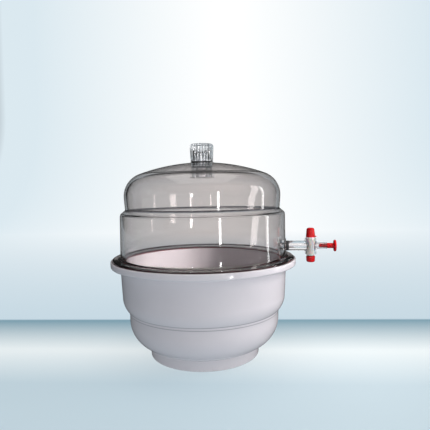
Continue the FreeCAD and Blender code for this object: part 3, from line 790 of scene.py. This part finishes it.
def outlet():
    """A stem inside the nozzle, a thicker neck outside it and a dished flange to pull on."""
    length = outlet_high[0] - outlet_low[0]
    neck = length - 11.1
    head = length - 2.6
    flange_r = 7.2
    dish = length - 0.35
    outline = path([(0, 0), (2.6, 0, 0.4), (2.85, neck), (3.3, neck, 0.15), (3.25, neck + 3.0),
                    (3.2, head - 0.9), (3.4, head, 0.5), (flange_r, head, 0.8), (flange_r, length, 0.8),
                    (5.6, length, 0.3), (5.4, dish, 0.3), (0, dish)], 6)
    piece = lathe("outlet_plug_red", outline, 96)
    lay_along_x(piece, outlet_low[0], COCK_Z)
    finish_piece(piece, "outlet_plug", RED, "outlet_plug")


def carried_over():
    """CAD nodes whose shape stays get their finished materials."""
    materials = {"perforated_plate": SATIN_PP, "lock_nut": SATIN_PP, "stopcock_body": CLEAR_COCK,
                 "stopcock_plug": PTFE, "key_washer": PTFE, "key_oring": BLACK}
    for node, material in materials.items():
        holder = frame["nodes"][node]
        if not holder.material_slots:
            holder.data.materials.append(material)
        for slot in holder.material_slots:
            slot.material = material


base_bowl()
seal_ring()
gel_bed()
lid_shell()
knob()
knob_fixings()
wall_fixings()
key_cap()
nut_cap()
outlet()
carried_over()


# ---------------------------------------------------------------- stage, light and camera, in metres

CAMERA_AZIMUTH = 10.0
CAMERA_DISTANCE = 0.528
CAMERA_HEIGHT = 0.2046
CAMERA_PITCH = 2.86
CAMERA_YAW_PX = 12.2
CAMERA_ROLL = 1.0
FOCAL_PX = 404.0
FRAME_PX = 430.0
SENSOR_MM = 36.0
SWEEP_TURN = 5.3
HORIZON_Y = 0.127
WARM = (1.0, 0.985, 0.965)


def sweep_paper():
    """A light table that shades into a glowing backdrop, with dark flanks and a dark top."""
    f = Finish("sweep_paper")
    x, away, up = f.axes()
    aside = f.maths("ABSOLUTE", x)
    glow = f.mixed(f.spread(aside, 0.1, 1.5), (1.05, 1.06, 1.06), (0.74, 0.85, 0.91))
    glow = f.mixed(f.spread(away, HORIZON_Y, 1.7), (0.58, 0.71, 0.79), glow)
    flank = f.spread(aside, 1.75, 2.0)
    above = f.spread(up, 1.85, 2.1)
    glow = f.mixed(f.maths("MAXIMUM", flank, above), glow, (0.02, 0.02, 0.02))
    behind = f.spread(away, HORIZON_Y - 0.004, HORIZON_Y + 0.004)
    towards_horizon = f.spread(away, 0.0, HORIZON_Y)
    table = f.mixed(f.spread(away, -0.10, -0.01), (0.37, 0.49, 0.56), (0.68, 0.74, 0.76))
    table = f.mixed(towards_horizon, table, (0.13, 0.27, 0.35))
    paper = f.mixed(towards_horizon, (0.22, 0.23, 0.23), (0.08, 0.10, 0.11))
    f.set(Base_Color=f.mixed(behind, paper, (0.02, 0.02, 0.02)), Roughness=0.75,
          Normal=f.bump(f.noise(300, 3, 0.6), 0.0001, 0.2),
          Emission_Color=f.mixed(behind, table, glow),
          Emission_Strength=f.spread(behind, 0.0, 1.0, 0.92, 0.95))
    return f.material


def stage():
    side = 3.2
    front = -2.6
    bend = 1.7
    bend_r = 0.9
    height = 3.2
    outline = [(front, 0.0), (bend, 0.0)]
    outline += [(bend + y, bend_r + z) for y, z in arc(0, 0, bend_r, -90, 0, 3.9)[1:]]
    outline.append((bend + bend_r, height))
    verts = []
    faces = []
    for i, (y, z) in enumerate(outline):
        verts += [(-side, y, z), (side, y, z)]
        if i:
            k = 2 * i
            faces.append([k - 2, k - 1, k + 1, k])
    mesh = bpy.data.meshes.new("sweep")
    mesh.from_pydata(verts, [], faces)
    mesh.polygons.foreach_set("use_smooth", [True] * len(mesh.polygons))
    sweep = bpy.data.objects.new("sweep", mesh)
    bpy.context.scene.collection.objects.link(sweep)
    sweep.rotation_euler = (0, 0, math.radians(SWEEP_TURN))
    sweep.data.materials.append(sweep_paper())
    sweep.visible_glossy = False


def lamp(name, azimuth, elevation, distance, size, power, colour=(1, 1, 1), aim=(0, 0, 0.14), hidden_from=()):
    """An area lamp; its azimuth is measured from the camera's side towards its right."""
    a = math.radians(CAMERA_AZIMUTH + azimuth)
    e = math.radians(elevation)
    towards = Vector((math.sin(a) * math.cos(e), -math.cos(a) * math.cos(e), math.sin(e)))
    data = bpy.data.lights.new(name, "AREA")
    data.shape = "RECTANGLE"
    data.size, data.size_y = size
    data.energy = power
    data.color = colour
    made = bpy.data.objects.new(name, data)
    made.location = Vector(aim) + distance * towards
    made.rotation_euler = (distance * towards).to_track_quat("Z", "Y").to_euler()
    for rays in hidden_from:
        setattr(made, "visible_" + rays, False)
    bpy.context.scene.collection.objects.link(made)
    return made


def lamps():
    """Soft lamps that leave no reflection, then thin strips that draw the highlights."""
    hidden = ("glossy", "transmission")
    box = (0.9, 0.9)
    stopcock = (BARREL_X * MM, 0, 0.14)
    lamp("key_right", 52, 34, 1.5, box, 4.2, WARM, hidden_from=hidden)
    lamp("fill_left", -62, 22, 1.6, box, 1.5, (0.98, 0.98, 1.0), hidden_from=hidden)
    lamp("overhead", 0, 88, 1.6, (1.6, 1.6), 18, hidden_from=("glossy",))
    lamp("low_front", 12, 4, 1.3, (1.2, 0.4), 2.4, aim=(0, 0, 0.03), hidden_from=hidden)
    inner = lamp("inside_lid", 75, 22, 0.13, (0.04, 0.04), 0.07, (1.0, 0.985, 0.975), (-0.07, 0.05, 0.105),
                 hidden + ("camera",))
    inner.data.spread = math.radians(75)
    lamp("stopcock_side", 38, 30, 0.13, (0.05, 0.18), 0.27, (1.0, 0.98, 0.97), stopcock, ("glossy", "camera"))
    lamp("window_right", 92, 6, 1.2, (0.07, 0.9), 1.4)
    lamp("strip_right", 21, 7, 1.3, (0.06, 0.55), 1.7)
    lamp("strip_left", -14, 6, 1.4, (0.05, 0.30), 1.0)
    lamp("strip_low", 26, 2, 0.385, (0.008, 0.05), 0.10, aim=(0, 0, 0.03))


def world():
    """A dim room, lighter overhead."""
    made = bpy.data.worlds.new("studio")
    bpy.context.scene.world = made
    made.use_nodes = True
    tree = made.node_tree
    background = tree.nodes["Background"]
    coords = tree.nodes.new("ShaderNodeTexCoord")
    split = tree.nodes.new("ShaderNodeSeparateXYZ")
    ramp = tree.nodes.new("ShaderNodeValToRGB")
    tree.links.new(coords.outputs["Generated"], split.inputs["Vector"])
    tree.links.new(split.outputs["Z"], ramp.inputs["Fac"])
    tree.links.new(ramp.outputs["Color"], background.inputs["Color"])
    low, high = ramp.color_ramp.elements
    low.position = 0.0
    low.color = (0.05, 0.049, 0.049, 1)
    high.position = 1.0
    high.color = (0.24, 0.24, 0.245, 1)
    ramp.color_ramp.elements.new(0.35).color = low.color
    background.inputs["Strength"].default_value = 0.6


def camera():
    data = bpy.data.cameras.new("camera")
    data.sensor_width = SENSOR_MM
    data.lens = SENSOR_MM * FOCAL_PX / FRAME_PX
    data.clip_start = 0.01
    made = bpy.data.objects.new("camera", data)
    bpy.context.scene.collection.objects.link(made)
    a = math.radians(CAMERA_AZIMUTH)
    place = Vector((CAMERA_DISTANCE * math.sin(a), -CAMERA_DISTANCE * math.cos(a), CAMERA_HEIGHT))
    heading = a - math.atan(CAMERA_YAW_PX / FOCAL_PX)
    pitch = math.radians(CAMERA_PITCH)
    ahead = Vector((-math.sin(heading) * math.cos(pitch), math.cos(heading) * math.cos(pitch),
                    -math.sin(pitch)))
    right = ahead.cross(Vector((0, 0, 1))).normalized()
    up = right.cross(ahead)
    roll = math.radians(CAMERA_ROLL)
    tilted_up = up * math.cos(roll) + right * math.sin(roll)
    tilted_right = right * math.cos(roll) - up * math.sin(roll)
    turn = Matrix((tilted_right, tilted_up, -ahead)).transposed().to_4x4()
    made.matrix_world = Matrix.Translation(place) @ turn
    bpy.context.scene.camera = made


stage()
world()
lamps()
camera()
scene = bpy.context.scene
scene.view_settings.view_transform = "Standard"
scene.cycles.transmission_bounces = 16
scene.cycles.max_bounces = 20
